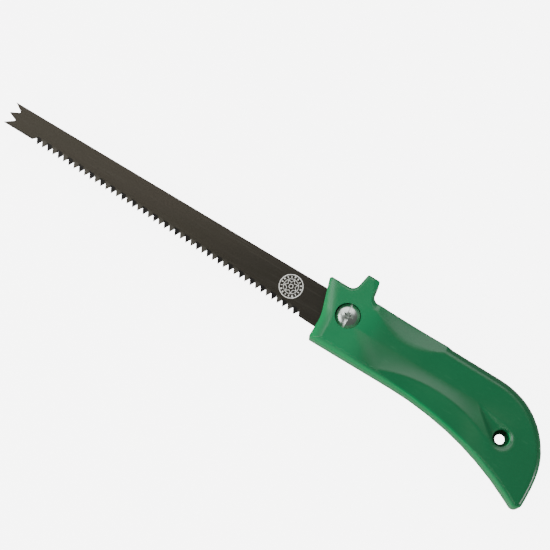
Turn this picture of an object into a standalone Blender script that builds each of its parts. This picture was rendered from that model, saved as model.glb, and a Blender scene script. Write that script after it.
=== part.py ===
# Drywall saw: a one-piece moulded handle, a push-in blade and one screw set that clamps the handle's cheeks.
# Sizes are in millimetres. x = 0, y = 0 is the clamp screw's axis and z = 0 is the blade's middle plane;
# +X runs along the blade's back to the handle's end, +Y is the guard's side.
import math

import bmesh
import bpy
from mathutils import Matrix, Vector

MM = 0.001
ORIGIN = Vector((39.125, 7.69, 9.5))     # from the screw's axis to the middle of the object's base
GAP = 0.3                               # air between pieces that touch

# Handle
HANDLE_HALF = 9.5                       # half its thickness
BEVEL_STEPS = 3
# The outline's corners, clockwise from the horn: x, y, radius, then the width, the depth and the roundness
# of the bevel along the side that leaves the corner.
OUTLINE = (
    (-17.7, 12.85, 1.3, 1.3, 1.3, 0.5),     # horn, then the short edge before the guard
    (-3.6, 12.4, 4.0, 1.3, 1.3, 0.5),       # guard
    (-1.7, 22.65, 1.0, 1.3, 1.3, 0.5),
    (4.9, 22.5, 1.0, 1.3, 1.3, 0.5),
    (6.5, 12.7, 4.0, 3.0, 3.4, 0.9),       # back of the grip
    (85.7, 12.05, 42.0, 3.2, 3.6, 1.0),     # tail
    (99.2, 7.45, 34.0, 3.2, 3.6, 1.0),
    (110.0, -2.4, 38.0, 3.2, 3.6, 1.0),
    (116.1, -13.6, 34.0, 3.2, 3.6, 1.0),
    (117.95, -25.6, 75.0, 3.0, 3.6, 1.0),
    (117.95, -40.01, 3.2, 2.6, 3.6, 0.6),    # hook, then the belly
    (99.0, -30.55, 150.0, 2.6, 3.6, 0.4),
    (74.0, -22.1, 150.0, 2.8, 3.7, 0.3),
    (46.0, -18.2, 150.0, 2.8, 3.7, 0.2),
    (-11.25, -18.25, 0.9, 5.5, 3.7, 0.1),   # lower front corner, then the front edge
    (-11.25, -6.3, 20.0, 5.5, 3.7, 0.1),
)
ARC_STEP = math.radians(8)
# A scoop falls away from a circle's edge: centre, radius, reach inwards, first and last angle (degrees),
# then the angles over which it fades out.
THUMB_SCOOP = ((30.2, 33.3), 31.0, 16.0, 222.0, 318.0, 330.0, 340.0)
FINGER_SCOOP = ((55.0, -82.4), 73.2, 18.0, 116.0, 48.0, 70.0, 50.0)
SCOOP_STATIONS, SCOOP_ROWS = 28, 6
SCOOP_SLOPE, SCOOP_CURVE = 0.45, 0.0165 # depth = slope * u - curve * u * u, u from the circle inwards
TEAR_TIP, TEAR_END, TEAR_RADIUS, TEAR_DEPTH = (74.3, -3.2), (93.6, -12.6), 6.7, 1.9
HANG = (93.2, -12.4)
HANG_POCKET, HANG_BORE, HANG_WEB = 4.1, 2.45, 1.0  # two radii, and half the web left between the pockets

# Blade
BLADE_HALF = 0.6
SPINE = 7.4
TEETH, PITCH = 49, 3.175
TOOTH_FIRST, TOOTH_LAST = (-176.2, -4.8), (-23.85, -11.4)
TOOTH_DEPTH, GULLET_HALF, GULLET_LEAN = 1.95, 0.28, 0.12
TIP = ((-179.7, -4.3), (-195.2, -3.95), (-191.9, -1.0), (-191.6, -0.5), (-195.5, 1.3), (-195.6, 1.9),
       (-191.7, 3.8), (-191.6, 4.3), (-196.2, SPINE - 0.2))
HEEL = ((-21.9, -9.5), (-20.8, -11.5), (-6.0, -12.0))
TANG_HALF, TANG_END, TANG_CORNER = 6.4, 24.0, 2.0

# Clamp screw set, M6
SHANK, SHANK_HOLE = 2.85, 3.3
HEAD_RADIUS, HEAD_UNDER, HEAD_TOP, HEAD_SIDE = 6.0, 5.4, 8.9, 1.2
COUNTERBORE, CHEEK_FLOOR = 6.45, 2.4
DRIVE_WIDTH, DRIVE_DEPTH, DRIVE_TURN, CROSS_REACH, CROSS_WIDTH, CROSS_DEPTH = 1.3, 1.5, 8.0, 3.3, 1.5, 2.1
SCREW_END = HEAD_UNDER - 14.0
FLAT_WASHER = (SHANK + GAP, 5.75, CHEEK_FLOOR + GAP, 1.0)           # bore, radius, base, thickness
LOCK_WASHER = (SHANK + GAP, 5.2, CHEEK_FLOOR + 2 * GAP + 1.0, 1.1)
LOCK_SPLIT = 0.7
NUT_ACROSS, NUT_SEAT, NUT_THICK = 10.0, -4.0, 4.8


def material(name, colour, roughness, metallic=0.0):
    made = bpy.data.materials.new(name)
    made.use_nodes = True
    shader = made.node_tree.nodes["Principled BSDF"]
    shader.inputs["Base Color"].default_value = (*colour, 1.0)
    shader.inputs["Roughness"].default_value = roughness
    shader.inputs["Metallic"].default_value = metallic
    return made


def to_object(name, bm, paint=None, smooth=False, cutter=False):
    bmesh.ops.recalc_face_normals(bm, faces=bm.faces)
    bm.transform(Matrix.Scale(MM, 4))
    mesh = bpy.data.meshes.new(name)
    bm.to_mesh(mesh)
    bm.free()
    made = bpy.data.objects.new(name, mesh)
    bpy.context.scene.collection.objects.link(made)
    if paint:
        mesh.materials.append(paint)
    if smooth:
        mesh.shade_smooth()
        mesh.set_sharp_from_angle(angle=math.radians(28))
    if cutter:
        made.hide_render = True
        made.display_type = "WIRE"
    else:
        made.location = ORIGIN * MM
    return made


def cut(target, cutter):
    step = target.modifiers.new("Cut " + cutter.name, "BOOLEAN")
    step.operation = "DIFFERENCE"
    step.solver = "EXACT"
    step.object = cutter
    cutter.location = target.location


def loft(loops):
    """A closed skin over loops of equal length, capped at both ends."""
    bm = bmesh.new()
    rings = [[bm.verts.new(point) for point in loop] for loop in loops]
    count = len(rings[0])
    for lower, upper in zip(rings, rings[1:]):
        for i in range(count):
            j = (i + 1) % count
            bm.faces.new((lower[i], lower[j], upper[j], upper[i]))
    bm.faces.new(rings[0][::-1])
    bm.faces.new(rings[-1])
    return bm


def prism(points, low, high):
    return loft([[(x, y, z) for x, y in points] for z in (low, high)])


def circle(x, y, radius, count=48, start=0.0):
    turns = (start + math.tau * i / count for i in range(count))
    return [(x + radius * math.cos(t), y + radius * math.sin(t)) for t in turns]


def box(low, high):
    (x0, y0, z0), (x1, y1, z1) = low, high
    return prism([(x0, y0), (x1, y0), (x1, y1), (x0, y1)], z0, z1)


def turn_at(before, corner, after):
    a, b = (corner - before).normalized(), (after - corner).normalized()
    return math.atan2(a.x * b.y - a.y * b.x, a.dot(b))


def rounded(corners, radii, steps):
    """The closed outline through the corners, with an arc of the given radius and steps at each."""
    points = []
    for i, corner in enumerate(corners):
        before, after = corners[i - 1], corners[(i + 1) % len(corners)]
        turn = turn_at(before, corner, after)
        reach = radii[i] * math.tan(abs(turn) / 2)
        start = corner + (before - corner).normalized() * reach
        side = 1 if turn > 0 else -1
        out = (corner - before).normalized()
        centre = start + Vector((-out.y, out.x)) * radii[i] * side
        arm = start - centre
        for k in range(steps[i] + 1):
            angle = turn * k / steps[i]
            c, s = math.cos(angle), math.sin(angle)
            points.append(centre + Vector((arm.x * c - arm.y * s, arm.x * s + arm.y * c)))
    return points


def inset(corners, radii, widths):
    """The corners moved inwards (to the right of a clockwise outline), and the radii that go with them."""
    moved, moved_radii = [], []
    for i, corner in enumerate(corners):
        before, after = corners[i - 1], corners[(i + 1) % len(corners)]
        a, b = (corner - before).normalized(), (after - corner).normalized()
        in_a, in_b = Vector((a.y, -a.x)), Vector((b.y, -b.x))
        wide_a, wide_b = widths[i - 1], widths[i]
        turn = turn_at(before, corner, after)
        if abs(turn) > math.radians(25):
            cross = a.x * b.y - a.y * b.x
            gap = in_b * wide_b - in_a * wide_a
            along = (gap.x * b.y - gap.y * b.x) / cross
            moved.append(corner + in_a * wide_a + a * along)
        else:
            moved.append(corner + (in_a + in_b).normalized() * (wide_a + wide_b) / 2)
        change = (wide_a + wide_b) / 2 * (1 if turn > 0 else -1)
        moved_radii.append(max(radii[i] + change, 0.15))
    return moved, moved_radii


def handle_body():
    corners = [Vector(row[:2]) for row in OUTLINE]
    radii = [row[2] for row in OUTLINE]
    turns = [turn_at(corners[i - 1], corners[i], corners[(i + 1) % len(corners)]) for i in range(len(corners))]
    steps = [max(2, math.ceil(abs(turn) / ARC_STEP)) for turn in turns]
    levels = []
    for k in range(BEVEL_STEPS + 1):
        t = k / BEVEL_STEPS
        widths, drops = [], []
        for *_, width, depth, roundness in OUTLINE:
            widths.append(width * (t + roundness * (1 - math.cos(t * math.pi / 2) - t)))
            drops.append(depth * (1 - t + roundness * (t - math.sin(t * math.pi / 2))))
        loop = rounded(*inset(corners, radii, widths), steps)
        heights = []
        for i, count in enumerate(steps):
            heights += [HANDLE_HALF - (drops[i - 1] + drops[i]) / 2] * (count + 1)
        levels.append([(p.x, p.y, z) for p, z in zip(loop, heights)])
    lower = [[(x, y, -z) for x, y, z in loop] for loop in reversed(levels)]
    return loft(lower + levels)


def scoop(spec, side):
    (cx, cy), radius, reach, first, last, fade_from, fade_to = spec
    above = HANDLE_HALF + 4
    loops = []
    for i in range(SCOOP_STATIONS + 1):
        angle = first + (last - first) * i / SCOOP_STATIONS
        fade = min(max((angle - fade_from) / (fade_to - fade_from), 0.0), 1.0)
        c, s = math.cos(math.radians(angle)), math.sin(math.radians(angle))
        section = []
        for k in range(-1, SCOOP_ROWS + 1):
            u = reach * k / SCOOP_ROWS
            depth = SCOOP_SLOPE * u - SCOOP_CURVE * u * max(u, 0.0)
            section.append((radius - u, HANDLE_HALF - depth * (1 - fade) + 0.4 * fade))
        section += [(radius - reach, above), (radius + reach / SCOOP_ROWS, above)]
        loops.append([(cx + r * c, cy + r * s, side * z) for r, z in section])
    return loft(loops)


def tear(side):
    """A shallow groove that starts at a point, widens like a cone and ends round the hanging hole."""
    tip, end = Vector(TEAR_TIP), Vector(TEAR_END)
    length = (end - tip).length
    ahead = (end - tip) / length
    spread = math.asin(TEAR_RADIUS / length)
    reach = length - TEAR_RADIUS * math.sin(spread)
    stations = [(reach * k, reach * k * math.tan(spread)) for k in (0.03, 0.2, 0.4, 0.6, 0.8)]
    for k in range(9):
        turn = math.radians(90) - spread + k * (math.radians(82) + spread) / 8
        stations.append((length - TEAR_RADIUS * math.cos(turn), TEAR_RADIUS * math.sin(turn)))
    rows, loops = 10, []
    for along, half in stations:
        centre = tip + ahead * along
        section = []
        for k in range(rows + 1):
            u = 2 * k / rows - 1
            section.append((u, HANDLE_HALF - TEAR_DEPTH * half / TEAR_RADIUS * (1 - u * u)))
        section += [(1, HANDLE_HALF + 3), (-1, HANDLE_HALF + 3)]
        loops.append([(centre.x - ahead.y * u * half, centre.y + ahead.x * u * half, side * z) for u, z in section])
    return loft(loops)


def build_handle(paint):
    handle = to_object("handle", handle_body(), paint, smooth=True)
    cutters = []
    for name, side in (("front", 1), ("back", -1)):
        outer = side * (HANDLE_HALF + 2)
        cutters += [
            ("thumb_scoop_" + name, scoop(THUMB_SCOOP, side)),
            ("finger_scoop_" + name, scoop(FINGER_SCOOP, side)),
            ("tear_" + name, tear(side)),
            ("hang_pocket_" + name, prism(circle(*HANG, HANG_POCKET), *sorted((side * HANG_WEB, outer)))),
        ]
    across = (NUT_ACROSS / 2 + GAP) / math.cos(math.pi / 6)
    front = OUTLINE[0][0] - 2
    cutters += [
        ("hang_bore", prism(circle(*HANG, HANG_BORE), -HANG_WEB - 1, HANG_WEB + 1)),
        ("counterbore", prism(circle(0, 0, COUNTERBORE, 60), CHEEK_FLOOR, HANDLE_HALF + 2)),
        ("shank_hole", prism(circle(0, 0, SHANK_HOLE, 40), NUT_SEAT - 1, CHEEK_FLOOR + 1)),
        ("nut_pocket", prism(circle(0, 0, across, 6), -HANDLE_HALF - 2, NUT_SEAT)),
        ("slot_mouth", box((front, HEEL[2][1] - GAP, -BLADE_HALF - GAP),
                           (HEEL[2][0] + GAP, SPINE + GAP, BLADE_HALF + GAP))),
        ("slot_deep", box((front, -TANG_HALF - GAP, -BLADE_HALF - GAP),
                          (TANG_END + GAP, SPINE + GAP, BLADE_HALF + GAP))),
    ]
    for name, bm in cutters:
        cut(handle, to_object(name, bm, cutter=True))


def blade_outline():
    points = [Vector(TIP[0])]
    first, last = Vector(TOOTH_FIRST), Vector(TOOTH_LAST)
    step = (last - first) / (TEETH - 1)
    up = Vector((-step.y, step.x)).normalized()
    along = step.normalized()
    for i in range(TEETH):
        tooth = first + step * i
        middle = tooth - step / 2 - along * GULLET_LEAN + up * TOOTH_DEPTH
        points += [middle - along * GULLET_HALF, middle + along * GULLET_HALF, tooth]
    points += [Vector(p) for p in HEEL]
    points.append(Vector((HEEL[2][0], -TANG_HALF)))
    rear, half = TANG_END, TANG_HALF
    points += [Vector((rear - TANG_CORNER, -half)), Vector((rear, -half + TANG_CORNER))]
    notch = SHANK_HOLE
    points.append(Vector((rear, -notch)))
    for k in range(17):
        t = math.radians(-90 - 180 * k / 16)
        points.append(Vector((notch * math.cos(t), notch * math.sin(t))))
    points += [Vector((rear, notch)), Vector((rear, SPINE - TANG_CORNER)), Vector((rear - TANG_CORNER, SPINE))]
    points += [Vector(p) for p in reversed(TIP[1:])]
    return points


def build_blade(paint):
    to_object("blade", prism([(p.x, p.y) for p in blade_outline()], -BLADE_HALF, BLADE_HALF), paint)


def lathe(profile, count=40):
    """Turns a profile of (radius, z) points, with its ends on the axis, about the Z axis."""
    bm = bmesh.new()
    rings = [[bm.verts.new((x, y, z)) for x, y in circle(0, 0, r, count)] for r, z in profile[1:-1]]
    for lower, upper in zip(rings, rings[1:]):
        for i in range(count):
            j = (i + 1) % count
            bm.faces.new((lower[i], lower[j], upper[j], upper[i]))
    for ring, (_, z) in ((rings[0], profile[0]), (rings[-1], profile[-1])):
        hub = bm.verts.new((0, 0, z))
        for i in range(count):
            bm.faces.new((hub, ring[i], ring[(i + 1) % count]))
    return bm


def build_screw(paint):
    dome = [(HEAD_RADIUS * math.cos(t), HEAD_UNDER + HEAD_SIDE + (HEAD_TOP - HEAD_UNDER - HEAD_SIDE) * math.sin(t))
            for t in (math.radians(a) for a in (0, 22, 45, 66, 80))]
    profile = [(0, SCREW_END), (SHANK - 0.5, SCREW_END), (SHANK, SCREW_END + 0.5), (SHANK, HEAD_UNDER),
               (HEAD_RADIUS - 0.2, HEAD_UNDER), (HEAD_RADIUS, HEAD_UNDER + 0.3), *dome, (0, HEAD_TOP)]
    screw = to_object("clamp_screw", lathe(profile), paint, smooth=True)
    floor = HEAD_TOP - DRIVE_DEPTH
    half = DRIVE_WIDTH / 2
    slot = to_object("drive_slot", box((-half, -HEAD_RADIUS - 1, floor), (half, HEAD_RADIUS + 1, HEAD_TOP + 1)),
                     cutter=True)
    wide, reach = CROSS_WIDTH / 2, CROSS_REACH
    cross = to_object("drive_cross", box((-reach, -wide, HEAD_TOP - CROSS_DEPTH), (reach, wide, HEAD_TOP + 1)), cutter=True)
    upright = to_object("drive_upright", box((-wide, -reach, HEAD_TOP - CROSS_DEPTH), (wide, reach, HEAD_TOP + 1)), cutter=True)
    for cutter in (slot, cross, upright):
        cutter.rotation_euler.z = math.radians(DRIVE_TURN)
        cut(screw, cutter)


def ring_prism(outer, inner, low, high):
    bm = bmesh.new()
    loops = [[bm.verts.new((x, y, z)) for x, y in loop] for loop, z in
             ((outer, low), (outer, high), (inner, high), (inner, low))]
    count = len(outer)
    for a, b in zip(loops, loops[1:] + loops[:1]):
        for i in range(count):
            j = (i + 1) % count
            bm.faces.new((a[i], a[j], b[j], b[i]))
    return bm


def build_washers(paint):
    bore, radius, base, thick = FLAT_WASHER
    to_object("flat_washer", ring_prism(circle(0, 0, radius), circle(0, 0, bore), base, base + thick), paint, True)
    bore, radius, base, thick = LOCK_WASHER
    start = math.asin(LOCK_SPLIT / 2 / bore)
    turns = [start + (math.tau - 2 * start) * i / 40 for i in range(41)]
    loop = [(radius * math.cos(t), radius * math.sin(t)) for t in turns]
    loop += [(bore * math.cos(t), bore * math.sin(t)) for t in reversed(turns)]
    to_object("lock_washer", prism(loop, base, base + thick), paint, True)


def hexagon(inner_radius, count):
    points = []
    for i in range(count):
        t = math.tau * i / count
        nearest = round((t - math.pi / 6) / (math.pi / 3)) * math.pi / 3 + math.pi / 6
        r = inner_radius / math.cos(t - nearest)
        points.append((r * math.cos(t), r * math.sin(t)))
    return points


def build_nut(paint):
    top = NUT_SEAT - GAP
    outer = hexagon(NUT_ACROSS / 2, 36)
    to_object("hex_nut", ring_prism(outer, circle(0, 0, SHANK + GAP, 36), top - NUT_THICK, top), paint, True)


def main():
    for old in list(bpy.data.objects):
        bpy.data.objects.remove(old)
    build_handle(material("green_plastic", (0.011, 0.142, 0.058), 0.32))
    build_blade(material("dark_steel", (0.045, 0.038, 0.03), 0.45, 0.6))
    build_screw(material("screw_zinc", (0.72, 0.73, 0.74), 0.25, 1.0))
    washer_zinc = material("washer_zinc", (0.62, 0.63, 0.64), 0.35, 1.0)
    build_washers(washer_zinc)
    build_nut(material("nut_zinc", (0.66, 0.66, 0.65), 0.32, 1.0))


main()
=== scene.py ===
import math

import bmesh
import bpy
from mathutils import Matrix, Vector


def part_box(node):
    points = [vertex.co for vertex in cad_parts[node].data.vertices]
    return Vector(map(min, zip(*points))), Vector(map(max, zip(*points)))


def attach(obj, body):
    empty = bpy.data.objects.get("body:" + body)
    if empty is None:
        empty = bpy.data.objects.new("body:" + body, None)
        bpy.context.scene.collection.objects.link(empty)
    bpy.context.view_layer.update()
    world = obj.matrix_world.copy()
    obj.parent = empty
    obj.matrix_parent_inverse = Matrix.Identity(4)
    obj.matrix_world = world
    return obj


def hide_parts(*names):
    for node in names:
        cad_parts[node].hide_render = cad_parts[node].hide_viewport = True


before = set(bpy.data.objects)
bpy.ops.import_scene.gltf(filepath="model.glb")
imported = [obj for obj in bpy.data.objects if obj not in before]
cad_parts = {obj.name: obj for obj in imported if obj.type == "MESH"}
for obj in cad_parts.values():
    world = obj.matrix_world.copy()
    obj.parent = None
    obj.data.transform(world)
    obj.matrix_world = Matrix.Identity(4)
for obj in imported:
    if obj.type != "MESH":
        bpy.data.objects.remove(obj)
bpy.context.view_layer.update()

mm = 0.001


def middle(node):
    low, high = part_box(node)
    return [(a + b) / 2 for a, b in zip(low, high)]


screwMiddle, bladeMiddle = middle("clamp_screw"), middle("blade")
origin = Vector((screwMiddle[0], screwMiddle[1], bladeMiddle[2]))  # screw's axis, blade's middle plane


class Value:  # a shader socket that takes part in Python expressions
    def __init__(self, nodes, socket):
        self.nodes, self.socket = nodes, socket

    def math(self, operation, *others):
        return self.nodes.add("ShaderNodeMath", {"operation": operation}, (self, *others))

    def __add__(self, other): return self.math("ADD", other)
    def __radd__(self, other): return self.math("ADD", other)
    def __mul__(self, other): return self.math("MULTIPLY", other)
    def __rmul__(self, other): return self.math("MULTIPLY", other)
    def __sub__(self, other): return self.math("SUBTRACT", other)
    def __rsub__(self, other): return self.math("SUBTRACT", other).math("MULTIPLY", -1.0)
    def __truediv__(self, other): return self.math("DIVIDE", other)
    def __abs__(self): return self.math("ABSOLUTE")


class Nodes:  # the node tree of one material
    def __init__(self, name, **constants):
        self.material = bpy.data.materials.new(name)
        self.material.use_nodes = True
        self.tree = self.material.node_tree
        self.shader = self.tree.nodes["Principled BSDF"]
        for socket, value in constants.items():
            self.shader.inputs[socket.replace("_", " ")].default_value = value
        self.where = self.add("ShaderNodeTexCoord", {}, {}, "Object")

    def add(self, kind, settings, inputs, output=0):
        node = self.tree.nodes.new(kind)
        for key, value in settings.items():
            setattr(node, key, value)
        pairs = inputs.items() if isinstance(inputs, dict) else enumerate(inputs)
        for key, value in pairs:
            self.feed(node.inputs[key], value)
        return Value(self, node.outputs[output])

    def feed(self, socket, value):
        if isinstance(value, Value):
            self.tree.links.new(value.socket, socket)
        elif hasattr(socket.default_value, "__len__") and len(value) < len(socket.default_value):
            socket.default_value = (*value, 1.0)
        else:
            socket.default_value = value

    def noise(self, scale, detail=2.0, roughness=0.5, stretch=(1, 1, 1), distortion=0.0):
        place = self.add("ShaderNodeMapping", {}, {"Vector": self.where, "Scale": stretch})
        inputs = {"Vector": place, "Scale": scale, "Detail": detail, "Roughness": roughness,
                  "Distortion": distortion}
        return self.add("ShaderNodeTexNoise", {}, inputs)

    def between(self, value, low, high):  # 0 up to low, 1 from high on, eased between them
        inputs = {"Value": value, "From Min": low, "From Max": high}
        return self.add("ShaderNodeMapRange", {"interpolation_type": "SMOOTHSTEP"}, inputs)

    def mix(self, factor, first, second):
        return self.add("ShaderNodeMix", {"data_type": "RGBA"}, {0: factor, 6: first, 7: second}, 2)

    def axis(self, name):
        return self.add("ShaderNodeSeparateXYZ", {}, (self.where,), name)

    def attribute(self, name):
        return self.add("ShaderNodeAttribute", {"attribute_name": name}, (), "Fac")

    def bump(self, height, strength, distance):
        return self.add("ShaderNodeBump", {}, {"Height": height, "Strength": strength, "Distance": distance})

    def set(self, **inputs):
        for name, value in inputs.items():
            self.feed(self.shader.inputs[name.replace("_", " ")], value)
        return self.material


plastic = {  # colours of the handle, their darker and brighter parts chosen
    # painted shade: the plastic is darker behind the screw
    "green": ((0.010, 0.155, 0.055), (0.014, 0.195, 0.073)), "rearPaintedShadeFade": (0.004, 0.022), "rearPaintedShade": 0.38,
    # painted light: the lower and front edge bevels are a brighter green
    "lowEdge": (0.004, 0.27, 0.08), "paintedEdgeLightShare": 0.85, "scuff": (0.05, 0.27, 0.14), "scuffShare": 0.12,
}


def greenPlastic():
    made = Nodes("glossy green plastic", IOR=1.5, Roughness=0.3)
    cloud = made.noise(35.0, 3.0)
    peel = made.noise(900.0, 2.0)
    scuff = made.noise(160.0, 5.0, 0.6, (1, 9, 9), 0.6)
    marks = made.between(scuff, 0.6, 0.72)
    colour = made.mix(cloud, *plastic["green"])
    rear = made.between(made.axis("X") - origin.x, *plastic["rearPaintedShadeFade"])
    colour = made.mix(rear * plastic["rearPaintedShade"], colour, (0.0, 0.0, 0.0))  # painted shade, darker behind the screw
    lowEdge = made.attribute("lowEdge") * plastic["paintedEdgeLightShare"]
    colour = made.mix(lowEdge, colour, plastic["lowEdge"])  # painted light, brighter lower and front edges
    colour = made.mix(marks * plastic["scuffShare"], colour, plastic["scuff"])
    rough = 0.27 + made.noise(70.0, 4.0) * 0.08 + marks * 0.08
    height = peel * 0.35 + made.noise(120.0, 2.0) * 1.0
    return made.set(Base_Color=colour, Roughness=rough, Normal=made.bump(height, 0.35, 0.00012))


steel = {  # colours of the blade
    "coat": ((0.038, 0.033, 0.021), (0.044, 0.035, 0.024)), "handleShadeFade": (-0.12, 0.0),
    "paintedShadeNearHandle": (0.016, 0.013, 0.009), "facetPaintedShade": (0.006, 0.005, 0.004), "facetPaintedHighlight": (0.10, 0.095, 0.08),
    "belowFork": (0.008, 0.007, 0.005), "streak": (0.10, 0.09, 0.075), "ink": (0.95, 0.94, 0.9),
}


def toothColours(made, colour):  # painted shade and painted highlight on the tooth facets by turns, and a dark line below the fork
    first, last, steps = Vector(blade["first"]), Vector(blade["last"]), blade["teeth"] - 1
    tipLine = (last - first).normalized()
    x = made.axis("X") / mm - origin.x / mm - first.x
    y = made.axis("Y") / mm - origin.y / mm - first.y
    pitch = (x * tipLine.x + y * tipLine.y) * (steps / (last - first).length)
    height = y * tipLine.x - x * tipLine.y
    leaning = abs((pitch * 0.5 + height * 0.04 + 0.5).math("FRACT") - 0.5)  # 0 where set away, 0.5 towards
    ends = made.between(x, -1.6, -1.2) * (1 - made.between(pitch, steps + 0.5, steps + 0.6))
    facetBand = (1 - made.between(height, 2.8, 3.2)) * ends
    # painted shade on the teeth set away, painted highlight on those set towards
    dark = facetBand * (1 - made.between(leaning, 0.19, 0.25)) * 0.95
    light = facetBand * made.between(leaning, 0.27, 0.33) * 0.3
    colour = made.mix(dark, colour, steel["facetPaintedShade"])
    colour = made.mix(light, colour, steel["facetPaintedHighlight"])
    plain = (1 - made.between(x, -2.6, -2.0)) * (1 - made.between(y, 0.9, 1.2))
    return made.mix(plain * 0.8, colour, steel["belowFork"])


def roundelMark(made, roundel):  # rings, ticks and petals on the face with the screw's head
    x = made.axis("X") - roundel["x"] * mm - origin.x
    y = made.axis("Y") - roundel["y"] * mm - origin.y
    radius = (x * x + y * y).math("SQRT") / mm
    turn = y.math("ARCTAN2", x)

    def line(value, at, half):
        return 1 - made.between(abs(value - at), half, half + 0.08)

    tick = abs((turn * (roundel["ticks"] / math.tau)).math("FRACT") - 0.5)
    swell = (turn * 5).math("SINE") * 0.2
    ticks = 1 - made.between(tick - swell * 0.25, 0.13, 0.19)
    ticks = ticks * line(radius - swell, roundel["tickRadius"], roundel["tickHalf"])
    rings = line(radius, roundel["outer"], 0.16).math("MAXIMUM", line(radius, roundel["inner"], 0.08))
    petals = (turn * roundel["petals"]).math("SINE") * roundel["petalSwing"] + 1
    heart = line(radius * petals, roundel["petalRadius"], 0.13)
    heart = heart.math("MAXIMUM", line(radius, roundel["core"], 0.12))
    mark = rings.math("MAXIMUM", ticks).math("MAXIMUM", heart)
    mark = mark * made.between(made.axis("Z") - origin.z, 0.0005, 0.00055)  # upper face only
    return mark * made.between(made.noise(1500.0, 3.0), 0.28, 0.42)


def darkSteel():
    made = Nodes("dark coated steel", Metallic=0.55, Roughness=0.42, IOR=1.6)
    grain = made.noise(60.0, 4.0, 0.6, (0.6, 22, 22))
    cloud = made.noise(45.0, 3.0, 0.55, (0.5, 1, 1), 0.8)
    along = made.between(made.axis("X") - origin.x, *steel["handleShadeFade"])
    colour = made.mix(cloud, *steel["coat"])
    # painted shade, the blade darker towards the handle
    colour = made.mix(along * 0.7, colour, steel["paintedShadeNearHandle"])
    colour = toothColours(made, colour)
    colour = made.mix(made.between(grain, 0.55, 0.8) * 0.35, colour, steel["streak"])
    mark = roundelMark(made, blade["roundel"])
    colour = made.mix(mark * 0.95, colour, steel["ink"])
    rough = 0.36 + cloud * 0.1 + grain * 0.12 + mark * 0.1
    height = grain + made.noise(500.0, 2.0) * 0.5 + mark * 0.6
    return made.set(Base_Color=colour, Roughness=rough, Metallic=0.55 - mark * 0.55,
                    Normal=made.bump(height, 0.25, 0.00006))


def zinc(name, base, rough):
    made = Nodes(name, Metallic=1.0)
    cloud, fine = made.noise(420.0, 4.0), made.noise(2600.0, 2.0)
    colour = made.mix(cloud, [c * 0.86 for c in base], base)
    return made.set(Base_Color=colour, Roughness=rough + cloud * 0.12,
                    Normal=made.bump(cloud + fine * 0.5, 0.3, 0.00005))


def slottedZinc():  # the screw's zinc, with a painted highlight, matt and pale, along the slot
    made = Nodes("bright zinc", Metallic=1.0)
    cloud = made.noise(90.0, 4.0)
    turn = math.radians(screw["turn"])
    x, y = (made.axis("X") - origin.x) / mm, (made.axis("Y") - origin.y) / mm
    radius = (x * x + y * y).math("SQRT")
    across = abs(x * math.cos(turn) + y * math.sin(turn))
    dome = screw["top"] - radius * radius * (screw["bow"][0] + radius * radius * screw["bow"][1])
    sunk = dome - (made.axis("Z") - origin.z) / mm
    # painted highlight along the slot
    slotHighlight = made.between(sunk, 0.06, 0.12) * (1 - made.between(across, 0.72, 0.8))
    slotHighlight = slotHighlight * made.between(radius, 1.5, 2.2) * (1 - made.between(sunk, 1.0, 1.2))
    colour = made.mix(cloud, (0.54, 0.59, 0.55), (0.62, 0.67, 0.63))
    colour = made.mix(slotHighlight, colour, (0.95, 0.96, 0.94))
    rough = 0.25 + cloud * 0.06 + slotHighlight * 0.25
    return made.set(Base_Color=colour, Roughness=rough, Metallic=1 - slotHighlight * 0.9,
                    Normal=made.bump(made.noise(700.0, 3.0), 0.3, 0.00004))


def intoPlace(bm):  # from millimetres about the screw's axis to metres in the frame
    bmesh.ops.scale(bm, vec=(mm, mm, mm), verts=bm.verts)
    bmesh.ops.translate(bm, vec=origin, verts=bm.verts)


def toPiece(name, bm, material, body, nodes, angle=32):
    bmesh.ops.recalc_face_normals(bm, faces=bm.faces)
    intoPlace(bm)
    mesh = bpy.data.meshes.new(name)
    bm.to_mesh(mesh)
    bm.free()
    piece = bpy.data.objects.new(name, mesh)
    bpy.context.scene.collection.objects.link(piece)
    if material:
        mesh.materials.append(material)
        mesh.shade_smooth()
        mesh.set_sharp_from_angle(angle=math.radians(angle))
        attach(piece, body)
        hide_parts(*nodes)
    return piece


def cutAway(piece, shapes, angle=32):
    cutters = [toPiece("cutter", shape, None, None, ()) for shape in shapes]
    for cutter in cutters:
        step = piece.modifiers.new("cut", "BOOLEAN")
        step.operation, step.solver, step.object = "DIFFERENCE", "EXACT", cutter
    graph = bpy.context.evaluated_depsgraph_get()
    mesh = bpy.data.meshes.new_from_object(piece.evaluated_get(graph))
    piece.modifiers.clear()
    old, piece.data = piece.data, mesh
    bpy.data.meshes.remove(old)
    for cutter in cutters:
        bpy.data.objects.remove(cutter)
    mesh.shade_smooth()
    mesh.set_sharp_from_angle(angle=math.radians(angle))
    mesh.name = piece.name


def turned(profile, steps, centre=(0, 0)):  # a solid of revolution: (radius, height) points, ends on the axis
    bm = bmesh.new()
    points = [bm.verts.new((centre[0] + r, centre[1], z)) for r, z in profile]
    edges = [bm.edges.new(pair) for pair in zip(points, points[1:])]
    bmesh.ops.spin(bm, geom=points + edges, cent=(*centre, 0), axis=(0, 0, 1), angle=math.tau, steps=steps,
                   use_merge=True)
    bmesh.ops.remove_doubles(bm, verts=bm.verts, dist=1e-4)
    bmesh.ops.recalc_face_normals(bm, faces=bm.faces)
    return bm


def rod(radius, low, high, centre=(0, 0)):
    return turned([(0, low), (radius, low), (radius, high), (0, high)], 64, centre)


def addHexagon(bm, across, height):
    bmesh.ops.create_circle(bm, cap_ends=True, radius=across / 2 / math.cos(math.pi / 6), segments=6,
                            matrix=Matrix.Translation((0, 0, height)))


def vertsOf(geom):
    return [item for item in geom if isinstance(item, bmesh.types.BMVert)]


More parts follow.
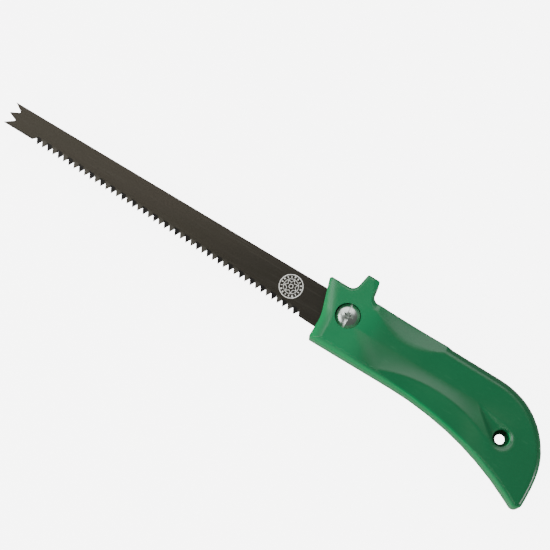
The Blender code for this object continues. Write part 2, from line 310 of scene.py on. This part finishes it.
def turnAboutZ(bm, angle):
    bmesh.ops.rotate(bm, cent=(0, 0, 0), matrix=Matrix.Rotation(angle, 3, "Z"), verts=bm.verts)


def extrudeLoop(bm, edges):  # the new vertices, and the new loop of edges between them
    made = bmesh.ops.extrude_edge_only(bm, edges=edges)["geom"]
    fresh = set(vertsOf(made))
    loop = [e for e in made if isinstance(e, bmesh.types.BMEdge) and fresh.issuperset(e.verts)]
    return fresh, loop


def slab(low, high):
    bm = bmesh.new()
    bmesh.ops.create_cube(bm, size=1.0)
    bmesh.ops.scale(bm, vec=[b - a for a, b in zip(low, high)], verts=bm.verts)
    bmesh.ops.translate(bm, vec=[(a + b) / 2 for a, b in zip(low, high)], verts=bm.verts)
    return bm


def smoothStep(value, low, high):
    t = min(max((value - low) / (high - low), 0.0), 1.0)
    return t * t * (3 - 2 * t)


def softMax(values, soft):
    top = values[0]
    for value in values[1:]:
        blend = max(soft - abs(top - value), 0.0) / soft
        top = max(top, value) + blend * blend * soft / 4
    return top


# Corners clockwise from the horn: x, y, radius, then the width, depth and roundness
# of the edge bevel that follows.
grip = {
    "half": 9.5,
    "corners": (
        (-17.7, 12.85, 1.3, 1.7, 1.5, 0.4),
        (-3.6, 12.4, 4.0, 1.3, 1.3, 0.5),
        (-1.7, 22.65, 1.0, 1.3, 1.3, 0.5),
        (4.9, 22.5, 1.0, 1.3, 1.3, 0.5),
        (6.5, 12.7, 4.0, 5.0, 5.2, 1.0),
        (85.7, 12.05, 42.0, 5.0, 5.2, 1.0),
        (99.2, 7.45, 34.0, 4.5, 4.8, 1.0),
        (110.0, -2.4, 38.0, 3.9, 4.2, 1.0),
        (116.1, -13.6, 34.0, 3.2, 3.6, 1.0),
        (117.95, -25.6, 75.0, 3.0, 3.6, 1.0),
        (117.95, -40.01, 3.2, 2.6, 3.6, 0.6),
        (99.0, -30.55, 150.0, 2.6, 3.6, 0.4),
        (74.0, -22.1, 150.0, 2.8, 3.7, 0.3),
        (46.0, -18.2, 150.0, 2.8, 3.7, 0.2),
        (-11.25, -18.25, 0.9, 5.5, 3.7, 0.1),
        (-11.25, -6.3, 20.0, 6.3, 3.7, 0.75),
    ),
    "bevelSteps": 9, "arcStep": math.radians(5), "sharpTurn": math.radians(25), "leastRadius": 0.15,
    "cell": 0.55, "soft": 0.3,
    "dishDepth": 1.3, "dishMiddle": -3.0, "dishTop": 8.4, "dishLow": (-15.5, -9.0), "dishPower": 1.5,
    "dishFront": (3.0, 15.0), "dishBack": (74.0, 100.0),
    "thumb": ((30.2, 33.3), 31.0), "finger": ((55.0, -82.4), 73.2), "fingerFade": (72.0, 101.0),
    "scoopSlope": 0.45, "scoopCurve": 0.0165, "scoopSoft": 0.35,
    "tearTip": (74.3, -3.2), "tearEnd": (93.6, -12.6), "tearRadius": 6.7, "tearDepth": 2.0,
    "tearRamp": 1.3, "tearEase": (0.25, 1.02),
    "partingHalf": 0.12, "partingDepth": 0.08, "partingLip": 0.1,
    "hang": (93.2, -12.4), "hangPocket": 4.1, "hangBore": 2.45, "hangWeb": 1.0, "hangFlare": 0.5,
    "recess": 6.35, "recessFloor": 2.4, "shankHole": 3.3, "nutAcross": 10.6, "nutSeat": -4.0,
    "edge": 0.25, "bladeGap": 0.3,
}


def turnAt(before, corner, after):
    a, b = (corner - before).normalized(), (after - corner).normalized()
    return math.atan2(a.x * b.y - a.y * b.x, a.dot(b))


def roundedOutline(corners, radii, steps):
    points = []
    for i, corner in enumerate(corners):
        before, after = corners[i - 1], corners[(i + 1) % len(corners)]
        turn = turnAt(before, corner, after)
        back = (before - corner).normalized()
        start = corner + back * radii[i] * math.tan(abs(turn) / 2)
        centre = start + Vector((back.y, -back.x)) * radii[i] * (1 if turn > 0 else -1)
        for k in range(steps[i] + 1):
            arm = start - centre
            arm.rotate(Matrix.Rotation(turn * k / steps[i], 2))
            points.append(centre + arm)
    return points


def insetOutline(corners, radii, widths):
    moved, movedRadii = [], []
    for i, corner in enumerate(corners):
        before, after = corners[i - 1], corners[(i + 1) % len(corners)]
        a, b = (corner - before).normalized(), (after - corner).normalized()
        inA, inB = Vector((a.y, -a.x)), Vector((b.y, -b.x))
        turn = turnAt(before, corner, after)
        if abs(turn) > grip["sharpTurn"]:
            gap = inB * widths[i] - inA * widths[i - 1]
            along = (gap.x * b.y - gap.y * b.x) / (a.x * b.y - a.y * b.x)
            moved.append(corner + inA * widths[i - 1] + a * along)
        else:
            moved.append(corner + (inA + inB).normalized() * (widths[i - 1] + widths[i]) / 2)
        change = (widths[i - 1] + widths[i]) / 2 * (1 if turn > 0 else -1)
        movedRadii.append(max(radii[i] + change, grip["leastRadius"]))
    return moved, movedRadii


# Outlines from the edge of the side wall to the inside of the bevel, each point with its drop.
def gripLevels():
    rows = grip["corners"]
    corners, radii = [Vector(row[:2]) for row in rows], [row[2] for row in rows]
    count = len(corners)
    turns = [turnAt(corners[i - 1], corners[i], corners[(i + 1) % count]) for i in range(count)]
    steps = [max(2, math.ceil(abs(turn) / grip["arcStep"])) for turn in turns]
    levels = []
    for k in range(grip["bevelSteps"] + 1):
        t = k / grip["bevelSteps"]
        rise, run = math.sin(t * math.pi / 2), 1 - math.cos(t * math.pi / 2)
        widths = [w * (t + r * (run - t)) for *_, w, d, r in rows]
        drops = [d * (1 - t + r * (t - rise)) for *_, w, d, r in rows]
        points = roundedOutline(*insetOutline(corners, radii, widths), steps)
        heights = []
        for i, number in enumerate(steps):
            heights += [(drops[i - 1] + drops[i]) / 2] * (number + 1)
        levels.append([Vector((p.x, p.y, drop)) for p, drop in zip(points, heights)])
    outer, total = levels[0], len(levels[0])
    lengths = [(outer[(i + 1) % total] - outer[i]).length for i in range(total)]
    pieces = [max(1, math.ceil(length / grip["cell"])) for length in lengths]
    return [
        [level[i].lerp(level[(i + 1) % total], k / n) for i, n in enumerate(pieces) for k in range(n)]
        for level in levels
    ]


def scoopDepth(circle, x, y):
    (cx, cy), radius = circle
    u = radius - math.hypot(x - cx, y - cy)
    u = (u + math.hypot(u, grip["scoopSoft"])) / 2  # softens the crease
    return grip["scoopSlope"] * u - grip["scoopCurve"] * u * u


def fingerDepth(x, y):
    if y > -5 or x < 0:  # the other side of the grip, and in front of the screw
        return 0.0
    return scoopDepth(grip["finger"], x, y) * (1 - smoothStep(x, *grip["fingerFade"]))


def dishDepth(x, y, thumb):
    (cx, cy), radius = grip["finger"]
    middle = grip["dishMiddle"]
    crest = cy + math.sqrt(max(radius ** 2 - (x - cx) ** 2, 0))
    low = min(max(crest, grip["dishLow"][0]), grip["dishLow"][1])
    reach = grip["dishTop"] - middle if y > middle else middle - low
    off = min(abs(y - middle) / reach, 1.0)
    across = 1 - off ** grip["dishPower"]
    if y > 0:
        across += (1 - smoothStep(off, 0, 1) - across) * smoothStep(thumb, 0, 1)
    front = smoothStep(x + min(y - middle, 0), *grip["dishFront"])
    return grip["dishDepth"] * across * front * (1 - smoothStep(x, *grip["dishBack"]))


def tearDepth(x, y):
    tip, end = Vector(grip["tearTip"]), Vector(grip["tearEnd"])
    length = (end - tip).length
    ahead = (end - tip) / length
    spread = math.asin(grip["tearRadius"] / length)
    offset = Vector((x, y)) - tip
    along, side = offset.dot(ahead), abs(offset.x * ahead.y - offset.y * ahead.x)
    if along < length - grip["tearRadius"] * math.sin(spread):
        half = max(along * math.tan(spread), 1e-6)
        out = side / half
    else:
        half, out = grip["tearRadius"], math.hypot(along - length, side) / grip["tearRadius"]
    if out >= 1 or along <= 0:
        return 0.0
    deep = min(half / grip["tearRadius"] * grip["tearRamp"], 1.0)
    return grip["tearDepth"] * deep * (1 - smoothStep(out, *grip["tearEase"]))


def faceHeight(x, y, drop):
    thumb = scoopDepth(grip["thumb"], x, y) if y > 0 else 0.0
    drop *= 1 - smoothStep(thumb, 0.2, 1.6)  # the thumb scoop runs out through the edge
    depths = (drop, thumb, fingerDepth(x, y), tearDepth(x, y))
    return grip["half"] - dishDepth(x, y, thumb) - softMax(depths, grip["soft"])


def cutIntoCells(bm, faces, ring):  # cuts the flat face into a grid that can follow its hollows
    for axis in (1, 0):
        low, high = min(v.co[axis] for v in ring), max(v.co[axis] for v in ring)
        normal = (1, 0, 0) if axis == 0 else (0, 1, 0)
        ahead, done, at = faces, [], low + grip["cell"]
        while at < high:
            geom = list(dict.fromkeys(item for f in ahead for item in (f, *f.edges, *f.verts)))
            point = [v * at for v in normal]
            cut = bmesh.ops.bisect_plane(bm, geom=geom, plane_co=point, plane_no=normal, dist=1e-5)["geom"]
            ahead = []
            for f in dict.fromkeys(item for item in cut if isinstance(item, bmesh.types.BMFace)):
                (ahead if f.calc_center_median()[axis] > at else done).append(f)
            at += grip["cell"]
        faces = done + ahead
    bmesh.ops.remove_doubles(bm, verts=bm.verts, dist=1e-4)


def moveInward(loop, distance):
    count = len(loop)
    area = sum(loop[i - 1].co.x * loop[i].co.y - loop[i].co.x * loop[i - 1].co.y for i in range(count))
    shifts = []
    for i in range(count):
        along = (loop[(i + 1) % count].co - loop[i - 1].co).normalized()
        side = Vector((-along.y, along.x, 0)) if area > 0 else Vector((along.y, -along.x, 0))
        shifts.append(side * distance)
    for v, shift in zip(loop, shifts):
        v.co += shift


def handleShell():
    bm = bmesh.new()
    drops, edgeLightLayer = bm.verts.layers.float.new("drop"), bm.verts.layers.float.new("lowEdge")
    levels = gripLevels()
    ring = [bm.verts.new((p.x, p.y, 0)) for p in levels[0]]
    edges = [bm.edges.new((ring[i - 1], ring[i])) for i in range(len(ring))]
    for vert, p in zip(ring, levels[0]):
        vert[drops] = p.z
    for level in levels[1:]:
        fresh, edges = extrudeLoop(bm, edges)
        ring = [next(e.other_vert(v) for e in v.link_edges if e.other_vert(v) in fresh) for v in ring]
        for vert, p in zip(ring, level):
            vert.co, vert[drops] = (p.x, p.y, 0), p.z
    cutIntoCells(bm, [bm.faces.new(ring)], ring)
    outer = [e for e in bm.edges if e.is_boundary]
    for vert in bm.verts:
        vert.co.z = faceHeight(vert.co.x, vert.co.y, vert[drops])
        # marks the front and lower edge bevels that get painted light
        lowSide = max(1 - smoothStep(vert.co.y, -9, 1), 1 - smoothStep(vert.co.x, -10, -5))
        vert[edgeLightLayer] = smoothStep(vert[drops], 0.5, 2.6) * lowSide
    half, depth = grip["partingHalf"], grip["partingDepth"]
    for height, inward in ((half + grip["partingLip"], 0), (half, depth), (0, 0)):
        fresh, outer = extrudeLoop(bm, outer)
        for v in fresh:
            v.co.z = height
        if inward:
            moveInward(walkLoop(outer), inward)
    bmesh.ops.mirror(bm, geom=list(bm.verts) + list(bm.edges) + list(bm.faces), axis="Z", merge_dist=1e-4)
    bmesh.ops.remove_doubles(bm, verts=bm.verts, dist=1e-4)
    return bm


def walkLoop(edges):
    links = {}
    for e in edges:
        for v in e.verts:
            links.setdefault(v, []).append(e.other_vert(v))
    start = next(iter(links))
    loop, last = [start], None
    while True:
        onward = [v for v in links[loop[-1]] if v is not last]
        last = loop[-1]
        if onward[0] is start:
            return loop
        loop.append(onward[0])


def flaredHole(centre, radius, floor, top, flare, side):  # a round hole whose mouth is rounded over
    profile = [(0, floor), (radius, floor), (radius, top - flare)]
    profile += [(radius + flare * (1 - math.cos(t)), top - flare * (1 - math.sin(t)))
                for t in (math.radians(a) for a in (22, 45, 67, 90))]
    profile += [(radius + flare, top + 3), (0, top + 3)]  # well clear of the surface
    return turned([(r, side * z) for r, z in profile], 96, centre)


def nutPocket():
    bm = bmesh.new()
    addHexagon(bm, grip["nutAcross"], grip["nutSeat"])
    mouth = grip["edge"]
    for down, grow in ((-grip["half"] - grip["nutSeat"] + mouth, 1.0), (-mouth, 1.05), (-2, 1.0)):
        lowest = min(v.co.z for v in bm.verts) + 1e-6
        face = next(f for f in bm.faces if all(v.co.z < lowest for v in f.verts))
        fresh = vertsOf(bmesh.ops.extrude_face_region(bm, geom=[face])["geom"])
        if face.is_valid:
            bmesh.ops.delete(bm, geom=[face], context="FACES_ONLY")
        bmesh.ops.translate(bm, vec=(0, 0, down), verts=fresh)
        bmesh.ops.scale(bm, vec=(grow, grow, 1), verts=fresh)
    addHexagon(bm, grip["nutAcross"], grip["nutSeat"])
    bmesh.ops.remove_doubles(bm, verts=bm.verts, dist=1e-4)
    return bm


def makeHandle():
    print("handle")
    piece = toPiece("grip", handleShell(), greenPlastic(), "handle", ("handle",))
    gap, half, spine = grip["bladeGap"], blade["half"], blade["spine"]
    front, (heelX, heelY) = grip["corners"][0][0] - 2, blade["heel"][2]
    shapes = [
        slab((front, heelY - gap, -half - gap), (heelX + gap, spine + gap, half + gap)),
        slab((front, -blade["tang"] - gap, -half - gap), (blade["tangEnd"] + gap, spine + gap, half + gap)),
        flaredHole((0, 0), grip["recess"], grip["recessFloor"], grip["half"], grip["edge"], 1),
        rod(grip["shankHole"], grip["nutSeat"] - 1, grip["recessFloor"] + 1),
        nutPocket(),
        rod(grip["hangBore"], -2, 2, grip["hang"]),
    ]
    top = faceHeight(*grip["hang"], 0) + 0.1
    hang, pocket, web, flare = (grip[key] for key in ("hang", "hangPocket", "hangWeb", "hangFlare"))
    shapes += [flaredHole(hang, pocket, web, top, flare, side) for side in (1, -1)]
    cutAway(piece, shapes)


blade = {
    "half": 0.6, "spine": 7.75, "teeth": 49, "first": (-176.2, -4.8), "last": (-23.85, -11.4),
    "depth": 2.1, "gulletHalf": 0.1, "gulletLean": 0.12, "set": 0.42, "tipHalf": 0.3, "reach": 0.55,
    "point": (
        (-179.7, -4.3), (-196.2, -4.15), (-191.9, -1.0), (-191.6, -0.5), (-196.0, 1.3), (-196.0, 1.7),
        (-191.7, 3.8), (-191.6, 4.3), (-196.2, 7.45),
    ),
    "heel": ((-21.9, -9.5), (-20.8, -11.5), (-6.0, -12.0)),
    "tang": 6.4, "tangEnd": 24.0, "tangCorner": 2.0, "notch": 3.3, "edge": 0.07,
    "roundel": {
        "x": -31.6, "y": -0.8, "outer": 5.85, "inner": 3.7, "ticks": 17, "tickRadius": 4.8,
        "tickHalf": 0.4, "petals": 7, "petalRadius": 2.5, "petalSwing": 0.2, "core": 1.0,
    },
}


def bladeOutline(first, step, along, up):  # the points, and which of them start a tooth
    outline, roots = [Vector(blade["point"][0])], []
    for i in range(blade["teeth"]):
        gullet = first + step * (i - 0.5) - along * blade["gulletLean"] + up * blade["depth"]
        outline += [gullet - along * blade["gulletHalf"], gullet + along * blade["gulletHalf"]]
        roots.append(len(outline) - 1)
    rear, corner, notch, tang = blade["tangEnd"], blade["tangCorner"], blade["notch"], blade["tang"]
    spine = blade["spine"]
    outline += [Vector(p) for p in blade["heel"]] + [Vector((blade["heel"][2][0], -tang))]
    outline += [Vector(p) for p in ((rear - corner, -tang), (rear, corner - tang), (rear, -notch))]
    for k in range(25):
        t = math.radians(-90 - 180 * k / 24)
        outline.append(Vector((notch * math.cos(t), notch * math.sin(t))))
    outline += [Vector(p) for p in ((rear, notch), (rear, spine - corner), (rear - corner, spine))]
    outline += [Vector(p) for p in reversed(blade["point"][1:])]
    return outline, roots


def makeBlade():
    print("blade")
    first, last = Vector(blade["first"]), Vector(blade["last"])
    step = (last - first) / (blade["teeth"] - 1)
    along = step.normalized()
    up = Vector((-along.y, along.x))
    outline, roots = bladeOutline(first, step, along, up)
    bm = bmesh.new()
    ring = [bm.verts.new((p.x, p.y, -blade["half"])) for p in outline]
    floor = bm.faces.new(ring)
    raised = vertsOf(bmesh.ops.extrude_face_region(bm, geom=[floor])["geom"])
    bmesh.ops.translate(bm, vec=(0, 0, 2 * blade["half"]), verts=raised)
    if not floor.is_valid or len([f for f in bm.faces if len(f.verts) == len(ring)]) < 2:
        bm.faces.new(ring[::-1])
    bmesh.ops.recalc_face_normals(bm, faces=bm.faces)
    for i, start in enumerate(roots):  # each tooth grows out of the side face under its root
        a, b = ring[start], ring[start + 1]
        root = next(e for e in a.link_edges if e.other_vert(a) is b)
        face = next(f for f in root.link_faces if len(f.verts) == 4)
        fresh = vertsOf(bmesh.ops.extrude_face_region(bm, geom=[face])["geom"])
        if face.is_valid:
            bmesh.ops.delete(bm, geom=[face], context="FACES_ONLY")
        tip = first + step * i - up * blade["reach"]
        side = 1 if i % 2 else -1
        for v in fresh:
            half = -blade["tipHalf"] if v.co.z < 0 else blade["tipHalf"]
            v.co = (tip.x, tip.y, blade["set"] * side + half)
        bmesh.ops.remove_doubles(bm, verts=fresh, dist=1e-3)
    piece = toPiece("sawBlade", bm, darkSteel(), "blade", ("blade",), 20)
    trim = piece.modifiers.new("edges", "BEVEL")
    trim.width, trim.segments = blade["edge"] * mm, 1
    trim.limit_method, trim.angle_limit = "ANGLE", math.radians(50)


screw = {
    "radius": 6.0, "under": 5.4, "top": 8.9, "bow": (0.034, 0.0005), "end": -8.6,
    "shank": 2.45, "thread": 2.92, "pitch": 1.0, "turn": 8.0, "slotWidth": 1.3, "slotDepth": 0.5,
    "crossReach": 3.4, "crossWidth": 1.6, "crossDepth": 1.6,
}


def helix(root, crest, low, high, phase, inward=False):  # a closed thread ridge
    bm = bmesh.new()
    pitch, turns = screw["pitch"], int((high - low) / screw["pitch"])
    half = pitch * 0.42
    rise, steps = high - low - 2 * half, 32 * turns
    sunk = root + (0.15 if inward else -0.15)
    section = [(sunk, -half), (root, -half * 0.9), (crest, -pitch * 0.08), (crest, pitch * 0.08),
               (root, half * 0.9), (sunk, half)]
    face = bm.faces.new([bm.verts.new((r, 0, low + half + z)) for r, z in section])
    turnAboutZ(bm, phase)
    bmesh.ops.spin(bm, geom=[face], cent=(0, 0, 0), axis=(0, 0, 1), dvec=(0, 0, rise / steps),
                   angle=math.tau * rise / pitch, steps=steps)
    bmesh.ops.recalc_face_normals(bm, faces=bm.faces)
    return bm


def join(bm, other):
    mesh = bpy.data.meshes.new("joined")
    other.to_mesh(mesh)
    other.free()
    bm.from_mesh(mesh)
    bpy.data.meshes.remove(mesh)
    return bm


def domeDrop(r):
    return screw["bow"][0] * r ** 2 + screw["bow"][1] * r ** 4


def makeScrew():
    print("clamp screw")
    outer, under, top, end, shank = (screw[key] for key in ("radius", "under", "top", "end", "shank"))
    dome = [(outer * k / 12, top - domeDrop(outer * k / 12)) for k in range(12, 0, -1)]
    profile = [(0, end), (shank - 0.5, end), (shank, end + 0.5), (shank, under - 0.3), (shank + 0.3, under),
               (outer - 0.3, under), (outer, under + 0.3), *dome, (0, top)]
    bm = turned(profile, 96)
    join(bm, helix(shank, screw["thread"], end + 0.3, under - 1.0, 0.0))
    piece = toPiece("panHeadScrew", bm, slottedZinc(), "screw", ("clamp_screw",))
    half, deep = screw["slotWidth"] / 2, top - screw["slotDepth"]
    wide, reach, floor = screw["crossWidth"] / 2, screw["crossReach"], top - screw["crossDepth"]
    slot = slab((-half, -7, deep), (half, 7, top + 0.3))
    lengthwise = [e for e in slot.edges if abs(e.verts[0].co.y - e.verts[1].co.y) > 1]
    bmesh.ops.subdivide_edges(slot, edges=lengthwise, cuts=13)
    for v in slot.verts:  # one wide wall and one steep one, bent to follow the dome
        v.co.x = v.co.x * 0.1 - half * 0.8 if v.co.z < top else v.co.x * 1.4
        v.co.z -= domeDrop(min(abs(v.co.y), outer))
    shapes = [slot]
    for quarter in (0, 1):
        arm = slab((-reach, -wide, floor), (reach, wide, top + 0.2))
        for v in arm.verts:
            if v.co.z < top:
                v.co.x, v.co.y = v.co.x * 0.45, v.co.y * 0.4
        turnAboutZ(arm, quarter * math.pi / 2)
        shapes.append(arm)
    for shape in shapes:
        turnAboutZ(shape, math.radians(screw["turn"]))
    cutAway(piece, shapes)


washers = {  # inner and outer radius, underside and top; half the gap of the split, in radians
    "flat": (3.15, 5.75, 2.7, 3.7), "lock": (3.15, 5.2, 4.0, 5.1), "split": math.radians(7), "edge": 0.12,
}


def washerSection(inner, outer, low, high):
    e = washers["edge"]
    return [(inner + e, low), (outer - e, low), (outer, low + e), (outer, high - e),
            (outer - e, high), (inner + e, high), (inner, high - e), (inner, low + e)]


def makeWashers():
    print("washers")
    metal = zinc("dull zinc", (0.62, 0.63, 0.64), 0.26)
    section = washerSection(*washers["flat"])
    ring = turned(section + section[:1], 72)
    toPiece("flatWasher", ring, metal, "washers", ("flat_washer",))
    bm = bmesh.new()
    face = bm.faces.new([bm.verts.new((r, 0, z)) for r, z in washerSection(*washers["lock"])])
    turnAboutZ(bm, washers["split"])
    bmesh.ops.spin(bm, geom=[face], cent=(0, 0, 0), axis=(0, 0, 1), angle=math.tau - 2 * washers["split"],
                   steps=70)
    toPiece("springWasher", bm, metal, "washers", ("lock_washer",))


nut = {"across": 10.0, "low": -9.1, "high": -4.3, "bore": 3.05, "crest": 2.62, "crownInset": 0.05}


def makeNut():
    print("nut")
    low, high, wide, bore = nut["low"], nut["high"], nut["across"], nut["bore"]
    bm = bmesh.new()
    addHexagon(bm, wide, low)
    raised = vertsOf(bmesh.ops.extrude_face_region(bm, geom=bm.faces[:])["geom"])
    bmesh.ops.translate(bm, vec=(0, 0, high - low), verts=raised)
    if len(bm.faces) < 8:  # closes the bottom if the extrusion left it open
        bm.faces.new([v for v in bm.verts if v.co.z < low + 1e-6][::-1])
    piece = toPiece("nut", bm, zinc("nut zinc", (0.70, 0.70, 0.68), 0.24), "handle", ("hex_nut",))
    crown = wide / 2 - nut["crownInset"]
    shapes = [turned([(0, low - 1), (bore + 0.5, low - 1), (bore + 0.5, low), (bore, low + 0.5),
                      (bore, high + 1), (0, high + 1)], 64)]
    for end, side in ((low, -1), (high, 1)):
        slope = end - side * (wide - crown) * 0.5
        shapes.append(turned([(crown, end), (wide, slope), (wide, end + side), (crown, end + side),
                              (crown, end)], 96))
    cutAway(piece, shapes, 25)
    mesh = bmesh.new()
    mesh.from_mesh(piece.data)
    thread = helix(bore, nut["crest"], low + 0.3, high - 0.1, math.pi, True)
    intoPlace(thread)
    join(mesh, thread)
    mesh.to_mesh(piece.data)
    mesh.free()


studio = {
    "distance": 1.0, "tilt": 9.75, "roll": 31.36, "lens": 133.7, "aim": (-41.27, -0.02, 0.0),
    "lamps": {  # azimuth as in toward, angle from straight up, distance, width, height, watts
        "key": (90, 42, 0.8, 1.1, 0.6, 5.1),
        "left": (181, 52, 1.1, 0.7, 0.6, 7.0),
        "low": (232, 58, 1.0, 0.7, 0.35, 7.5),
        "right": (-25, 76, 1.2, 0.35, 0.3, 6.0),
    },
    "overhead": (0.13, 0.14, 0.13), "around": (0.16, 0.16, 0.16), "tentFade": (0.72, 0.4),
    "paper": ((0.36, 0.36, 0.35), (0.40, 0.40, 0.39)), "floorGlow": 6.5, "floorSize": 3.0,
}


def toward(azimuth, fromTop):  # a direction, its azimuth counted from the main view's right hand side
    a, b = math.radians(azimuth + studio["roll"]), math.radians(fromTop)
    return Vector((math.sin(b) * math.cos(a), math.sin(b) * math.sin(a), math.cos(b)))


def makeStudio():
    print("studio")
    scene = bpy.context.scene
    camera = bpy.data.objects.new("camera", bpy.data.cameras.new("camera"))
    scene.collection.objects.link(camera)
    camera.data.lens, camera.data.sensor_width = studio["lens"], 36.0
    camera.data.clip_start = 0.01
    back, right = toward(-90, studio["tilt"]), toward(0, 90)
    turn = Matrix((right, back.cross(right), back)).transposed().to_4x4()
    aim = origin + Vector(studio["aim"]) * mm
    camera.matrix_world = Matrix.Translation(aim + back * studio["distance"]) @ turn
    scene.camera = camera

    bm = bmesh.new()
    bmesh.ops.create_grid(bm, x_segments=1, y_segments=1, size=studio["floorSize"])
    mesh = bpy.data.meshes.new("floor")
    bm.to_mesh(mesh)
    bm.free()
    floor = bpy.data.objects.new("floor", mesh)
    scene.collection.objects.link(floor)
    paper = Nodes("white paper", Roughness=0.9, Specular_IOR_Level=0.0)
    seen = paper.add("ShaderNodeLightPath", {}, (), "Is Camera Ray")  # the glow shows, but lights nothing
    glow = paper.mix(seen, (0, 0, 0), [studio["floorGlow"]] * 3)
    paper.shader.inputs["Emission Strength"].default_value = 1.0
    paper.set(Base_Color=paper.mix(paper.noise(3.0), *studio["paper"]), Emission_Color=glow)
    mesh.materials.append(paper.material)

    for name, (azimuth, fromTop, away, wide, high, power) in studio["lamps"].items():
        light = bpy.data.objects.new(name, bpy.data.lights.new(name, "AREA"))
        scene.collection.objects.link(light)
        light.data.shape, light.data.energy = "RECTANGLE", power
        light.data.size, light.data.size_y = wide, high
        direction = toward(azimuth, fromTop)
        light.location = origin + direction * away
        light.rotation_euler = direction.to_track_quat("Z", "Y").to_euler()
        light.visible_glossy = name != "low"  # this one only fills, and is not mirrored in the saw

    world = bpy.data.worlds.new("tent")  # a little darker overhead than all round
    scene.world = world
    world.use_nodes = True
    nodes, links = world.node_tree.nodes, world.node_tree.links
    sky, split = nodes.new("ShaderNodeTexCoord"), nodes.new("ShaderNodeSeparateXYZ")
    fade, mix = nodes.new("ShaderNodeMapRange"), nodes.new("ShaderNodeMix")
    fade.interpolation_type, mix.data_type = "SMOOTHSTEP", "RGBA"
    for name, value in zip(("From Min", "From Max"), studio["tentFade"]):
        fade.inputs[name].default_value = value
    links.new(sky.outputs["Generated"], split.inputs[0])
    links.new(split.outputs["Z"], fade.inputs["Value"])
    links.new(fade.outputs[0], mix.inputs[0])
    mix.inputs[6].default_value = (*studio["overhead"], 1)
    mix.inputs[7].default_value = (*studio["around"], 1)
    links.new(mix.outputs[2], nodes["Background"].inputs["Color"])


makeHandle()
makeBlade()
makeScrew()
makeWashers()
makeNut()
makeStudio()
